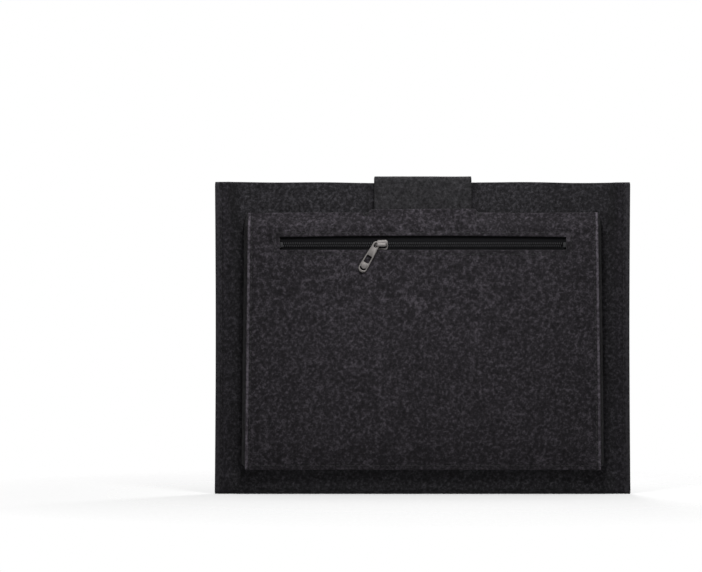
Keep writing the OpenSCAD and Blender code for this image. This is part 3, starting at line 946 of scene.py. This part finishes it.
def extruded(name, outlines, y_front, y_back, place, bevel, turn=0.0):
    """A flat metal part cut from one outer outline and its holes, extruded along Y, with rounded edges.
    Outlines are (x, z) points round place, turned by turn about Y."""
    curve = bpy.data.curves.new(name + "_outline", "CURVE")
    curve.dimensions = "2D"
    curve.fill_mode = "BOTH"
    curve.extrude = abs(y_back - y_front) / 2 - bevel
    curve.bevel_depth = bevel
    curve.bevel_resolution = 2
    curve.offset = -bevel
    for outline in outlines:
        spline = curve.splines.new("POLY")
        spline.points.add(len(outline) - 1)
        spline.use_cyclic_u = True
        for point, (x, z) in zip(spline.points, outline):
            point.co = (x, z, 0, 1)
    holder = add_object(name + "_holder", curve)
    mesh = evaluated_mesh(holder)
    bpy.data.objects.remove(holder)
    bpy.data.curves.remove(curve)
    bm = bmesh.new()
    bm.from_mesh(mesh)
    bpy.data.meshes.remove(mesh)
    c, s = math.cos(turn), math.sin(turn)
    for v in bm.verts:
        x, z, depth = v.co
        v.co = (place[0] + x * c + z * s, (y_front + y_back) / 2 + depth, place[1] + z * c - x * s)
    bmesh.ops.remove_doubles(bm, verts=bm.verts, dist=0.005 * MM)
    return smooth_shading(outward_normals(object_of(name, bm, nickel)), 40)


def arc(cx, cz, r, start, stop, count):
    return [(cx + r * math.cos(math.radians(a)), cz + r * math.sin(math.radians(a)))
            for a in np.linspace(start, stop, count)]


def build_slider():
    """An upper plate with a slot, an under plate, and the two walls between them."""
    half_l, half_h = (slider_high[0] - slider_low[0]) / 2, (slider_high[2] - slider_low[2]) / 2
    top_out = bridge_high[1]
    top_in = top_out + 1.4 * MM
    nose = half_h - 1.3 * MM
    left, right, curl = -half_l + 1.6 * MM, half_l - 2.2 * MM, 1.6 * MM
    plate = ([(left, nose)] + arc(right, half_h - 2.2 * MM, 2.2 * MM, 90, 0, 8)
             + arc(right, -half_h + 2.2 * MM, 2.2 * MM, 0, -90, 8) + [(left, -nose)]
             + arc(left, -nose + curl, curl, -100, -175, 6) + arc(left, nose - curl, curl, 175, 100, 6))
    place = ((slider_low[0] + slider_high[0]) / 2, zip_z)
    slot_z, slot_r = -1.5 * MM, 1.15 * MM
    slot = arc(3.4 * MM, slot_z, slot_r, -90, 90, 8) + arc(-2.2 * MM, slot_z, slot_r, 90, 270, 8)
    under = [(x * 0.98, z * 0.98) for x, z in plate]
    parts = [extruded("slider_top", [plate, slot], top_out, top_in, place, 0.4 * MM),
             extruded("slider_under", [under], slider_high[1] - 1 * MM, slider_high[1], place, 0.3 * MM)]
    for s in (-1, 1):
        low, high = s * (half_h - 0.85 * MM) - 0.75 * MM, s * (half_h - 0.85 * MM) + 0.75 * MM
        wall = [(-right, low), (right, low), (right, high), (-right, high)]
        parts.append(extruded("slider_wall", [wall], top_in - 0.3 * MM, tape_low[1] - 0.3 * MM, place, 0.2 * MM))
    return joined("zip_slider", parts)


stands_for(build_slider(), "slider", "slider_body")


def squarish(value, power):
    return math.copysign(abs(value) ** power, value)


def build_bridge():
    """A smooth arch along the slider, wide in the middle and pinched at its feet."""
    x0, x1 = bridge_low[0], bridge_high[0]
    half_t = 0.5 * MM
    foot_y = bridge_high[1] + 0.3 * MM
    reach = (x1 - x0) / 2 - 0.6 * MM
    depth = foot_y - (bridge_low[1] + half_t)
    rows, sides = 25, 12
    verts = []
    for k in range(rows):
        a = math.pi * k / (rows - 1)
        x = (x0 + x1) / 2 - reach * squarish(math.cos(a), 0.42)
        y = foot_y - depth * abs(math.sin(a)) ** 0.42
        tangent = Vector((math.sin(a) * reach, -math.cos(a) * depth)).normalized()
        half_wide = (0.95 + 0.45 * math.sin(a)) * MM
        for b in circle(sides):
            out = half_t * squarish(math.cos(b), 0.6)
            verts.append((x + tangent.y * out, y - tangent.x * out, zip_z + half_wide * squarish(math.sin(b), 0.6)))
    return solid("zip_slider_bridge", verts, tube_faces(0, rows, sides), nickel)


stands_for(build_bridge(), "slider", "slider_bridge")


def build_puller():
    """A flat tab with an eye, a window and a crescent cut round a raised disc."""
    eye_r, end_r, length = 3 * MM, 3.75 * MM, 22.3 * MM
    y_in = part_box("puller")[1][1]
    y_out = y_in - 1.4 * MM
    outline = (arc(0, 0, eye_r, 180, 0, 20) + [(eye_r, -2 * MM), (end_r, -length + 3 * MM)]
               + arc(0, -length, end_r, 0, -180, 24) + [(-end_r, -length + 3 * MM), (-eye_r, -2 * MM)])
    eye = arc(0, 0.35 * MM, 1.45 * MM, 180, 0, 14) + arc(0, -1.0 * MM, 1.45 * MM, 0, -180, 14)
    r, window_at = 0.7 * MM, -13.9 * MM
    wx, wz = 2.25 * MM - r, 3.3 * MM - r
    window = []
    for k, (sx, sz) in enumerate(((1, 1), (-1, 1), (-1, -1), (1, -1))):
        window += arc(sx * wx, window_at + sz * wz, r, 90 * k, 90 * k + 90, 5)
    disc_z = -21.2 * MM
    crescent = (arc(0, disc_z - 0.1 * MM, 2.95 * MM, 200, 340, 16)
                + arc(0, disc_z + 1.1 * MM, 2.75 * MM, 318, 222, 14))
    turn = math.radians(30)
    place = (puller_pivot.x, puller_pivot.z)
    tab = extruded("puller_tab", [outline, eye, window, crescent], y_out, y_in, place, 0.3 * MM, turn)
    disc = extruded("puller_disc", [arc(0, disc_z + 0.9 * MM, 2.45 * MM, 0, 352, 40)],
                    y_out - 0.5 * MM, y_out + 0.7 * MM, place, 0.25 * MM, turn)
    return joined("zip_puller", [tab, disc])


stands_for(build_puller(), "puller", "puller")


# ---- strap and flap

FOLD_R = 3.2 * MM
CORNER = 12.5 * MM          # of the flap's two rounded corners
HOLE_Z = 227 * MM


def strap_path(start, corner, end):
    """Points of the strap's middle line in (y, z): straight, a rounded corner, straight."""
    steps, step = 8, 1.5 * MM
    a, b, c = (np.array(p, float) for p in (start, corner, end))
    u, v = (a - b) / np.linalg.norm(a - b), (c - b) / np.linalg.norm(c - b)
    first, last = b + u * FOLD_R, b + v * FOLD_R
    centre = b + (u + v) * FOLD_R

    def straight(p, q):
        return [p + (q - p) * t for t in np.linspace(0, 1, max(2, int(np.linalg.norm(q - p) / step)))]

    points = straight(a, first)
    for k in range(1, steps):
        angle = math.pi / 2 * k / steps
        points.append(centre - v * FOLD_R * math.cos(angle) - u * FOLD_R * math.sin(angle))
    return np.array(points + straight(last, c))


def strap_sheet(name, path, end_corner=0.0):
    """A strap of felt along a path in (y, z). end_corner rounds the corners of its last end, and its
    first end then meets the strap's other half. Without it the last end does."""
    from_end = distances(path)[-1] - distances(path)
    half = spaced((0, flap_half - 12 * MM, 2 * MM), (flap_half - 12 * MM, flap_half, 1 * MM))
    across = mirrored(half) / flap_half
    tangents = np.gradient(path, axis=0)
    tangents /= np.linalg.norm(tangents, axis=1)[:, None]
    rows_out, rows_in = [], []
    for (y, z), (ty, tz), left in zip(path, tangents, from_end):
        width = flap_half
        if left < end_corner:
            width = flap_half - end_corner + math.sqrt(max(end_corner ** 2 - (end_corner - left) ** 2, 0))
        normal = np.array([0, -tz, ty])
        middle = np.stack(np.broadcast_arrays(across * width, y, z), -1)
        out_row = middle + normal * FELT / 2
        wobble = ripple(out_row, 30 * MM, 0.22 * MM, 31.0) + ripple(out_row, 7 * MM, 0.08 * MM, 34.0)
        rows_out.append(out_row + wobble[:, None] * normal)
        rows_in.append(middle - normal * FELT / 2 + wobble[:, None] * normal * 0.7)
    return felt_solid(name, np.array(rows_out), np.array(rows_in), strap_felt, roundness=0.3,
                      butt=0 if end_corner else len(path) - 1)


def cut_round_hole(obj, x, z, radius):
    """Cuts a round hole through a piece along Y."""
    bm = bmesh.new()
    bmesh.ops.create_cone(bm, cap_ends=True, segments=32, radius1=radius, radius2=radius, depth=20 * MM)
    for v in bm.verts:
        v.co = Vector((v.co.x + x, v.co.z + flap_axis.y, v.co.y + z))
    cutter = outward_normals(object_of("hole_cutter", bm))
    mod = obj.modifiers.new("hole", "BOOLEAN")
    mod.object = cutter
    mod.operation = "DIFFERENCE"
    mod.solver = "MANIFOLD"
    apply_modifiers(obj)
    bpy.data.objects.remove(cutter)


strap_middle = ((strap_axis.y + flap_axis.y) / 2, strap_axis.z)
back_path = strap_path((strap_axis.y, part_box("strap_root")[0][2]), (strap_axis.y, strap_axis.z), strap_middle)
front_path = strap_path(strap_middle, (flap_axis.y, flap_axis.z), (flap_axis.y, flap_low[2]))
# the last stretch is cut finer, for the rounded corners
fine = spaced((flap_low[2] + CORNER, flap_low[2] + 2 * MM, 1 * MM), (flap_low[2] + 2 * MM, flap_low[2], 0.25 * MM))
front_path = np.array([p for p in front_path if p[1] > flap_low[2] + CORNER + 0.5 * MM]
                      + [(flap_axis.y, z) for z in fine])

strap_back = strap_sheet("strap_back_felt", back_path)
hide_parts("strap_root")

strap_front = strap_sheet("flap_felt", front_path, CORNER)
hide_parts("flap_top", "flap_front")
cut_round_hole(strap_front, 0, HOLE_Z, 2.2 * MM)

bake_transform(strap_back)
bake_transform(strap_front)

# ---- elastic, button

LEG_X = 1.1
OUTSIDE_Y = 19.3
BEHIND_Y = 13.75
ELASTIC_ROUTE = [        # in mm: out of the hole, down to the button, round behind it and back
    (LEG_X, 13.8, 227), (LEG_X, 16.5, 227), (LEG_X, 18.4, 226.7), (1.5, 19.2, 225),
    (3.4, OUTSIDE_Y, 218), (5.8, OUTSIDE_Y, 210), (7.7, 19, 204), (8.8, 17.2, 199.5),
    (9.6, 14.9, 195), (9.7, BEHIND_Y, 190), (8.2, BEHIND_Y, 185.4), (4.8, BEHIND_Y, 182.2),
    (0, BEHIND_Y, 181.2), (-5, BEHIND_Y, 182.2), (-9.4, BEHIND_Y, 185), (-12, BEHIND_Y, 189),
    (-12.9, 14.6, 194), (-12.2, 17.2, 199.5), (-10.9, 19, 204.5), (-8.9, OUTSIDE_Y, 209.5),
    (-5, OUTSIDE_Y, 217.5), (-1.8, 19.2, 225), (-LEG_X, 18.4, 226.7), (-LEG_X, 16.5, 227),
    (-LEG_X, 13.8, 227)
]
loop_path = curve_through([Vector(p) * MM for p in ELASTIC_ROUTE], 12)
loop = tube_mesh("elastic_cord", loop_path, 1.15 * MM, elastic_black, sides=16,
                 profile=lambda t, a: 0.97 + 0.05 * math.sin(a * 4 + t * 380))
stands_for(loop, "flap", "elastic_loop")
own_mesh(loop)


def build_knot():
    """An overhand knot pressed flat behind the flap: one cord wound round the other's two ends."""
    low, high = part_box("elastic_knot")
    middle = (low[1] + high[1]) / 2
    turns = []
    for k in range(73):
        a = 2 * math.pi * k / 36
        wide = 2.3 * MM * (1 - 0.08 * math.cos(a * 1.5))
        turns.append((wide * math.cos(a), middle + 0.25 * MM * math.sin(a * 1.5), HOLE_Z + wide * 0.9 * math.sin(a)))
    return tube_mesh("elastic_end_knot", turns, 0.85 * MM, elastic_black)


stands_for(build_knot(), "flap", "elastic_knot")

BUTTON_PROFILE = [        # (radius, height) over the back face, in mm
    (0, 0.0), (8.0, 0.0), (11.2, 0.15), (12.9, 0.8), (13.75, 1.8), (14.0, 2.7), (13.7, 3.6), (12.9, 4.25),
    (11.7, 4.5), (10.5, 4.3), (9.6, 3.75), (9.0, 3.05), (8.5, 2.6), (7.6, 2.35), (5.0, 2.3), (0, 2.35)
]
DISH_H = 2.3 * MM
HOLE_OFFSET = 2.4 * MM


def build_button():
    """Turned from its profile, then drilled. The middle of each face is one flat cap."""
    profile = [p * MM for p in curve_through([Vector((r, h, 0)) for r, h in BUTTON_PROFILE], 4)]
    profile = [p for p in profile if p.x > 0.5 * MM]
    verts = [(p.x * math.cos(a), button_low[1] + p.y, button_z + p.x * math.sin(a))
             for p in profile for a in circle(96)]
    obj = solid("round_button", verts, tube_faces(0, len(profile), 96), button_brown)
    for sx in (-1, 1):
        for sz in (-1, 1):
            cut_round_hole(obj, sx * HOLE_OFFSET, button_z + sz * HOLE_OFFSET, 1.3 * MM)
    return smooth_shading(obj, 35)


stands_for(build_button(), "button", "button")


def build_button_thread():
    """Two strands from hole to hole, twice."""
    dish = button_low[1] + DISH_H
    parts = []
    for s in (-1, 1):
        for strand in (-0.2 * MM, 0.2 * MM):
            path = []
            for k in range(17):
                f = k / 16
                x = (2 * f - 1) * (HOLE_OFFSET - 1.1 * MM)
                lift = 0.55 * MM * math.sin(math.pi * f) ** 0.5 - (0.9 * MM if k in (0, 16) else 0)
                path.append((x, dish + lift, button_z + s * HOLE_OFFSET + strand))
            parts.append(tube_mesh("thread_strand", path, 0.2 * MM, button_cotton, sides=8))
    return joined("button_thread_bars", parts)


stands_for(build_button_thread(), "button", "button_thread")


def build_shank():
    """Six strands from the felt to the button, bound round and round."""
    low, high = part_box("button_shank")
    foot = low[1] - 0.8 * MM
    parts = []
    for a in circle(6):
        path = []
        for n in range(9):
            f = n / 8
            r = (1.35 - 0.35 * math.sin(math.pi * f)) * MM
            b = a + 0.5 * f
            path.append((r * math.cos(b), foot + (high[1] - foot) * f, button_z + r * math.sin(b)))
        parts.append(tube_mesh("shank_strand", path, 0.45 * MM, thread, sides=8))
    wrap_r = 1.75 * MM
    wrap = []
    for k in range(57):
        a = 2 * math.pi * k / 14
        y = low[1] + 0.4 * MM + (high[1] - low[1] - 0.8 * MM) * k / 56
        wrap.append((wrap_r * math.cos(a), y, button_z + wrap_r * math.sin(a)))
    parts.append(tube_mesh("shank_wrap", wrap, 0.3 * MM, thread, sides=8))
    return joined("button_shank_threads", parts)


stands_for(build_shank(), "sleeve", "button_shank")
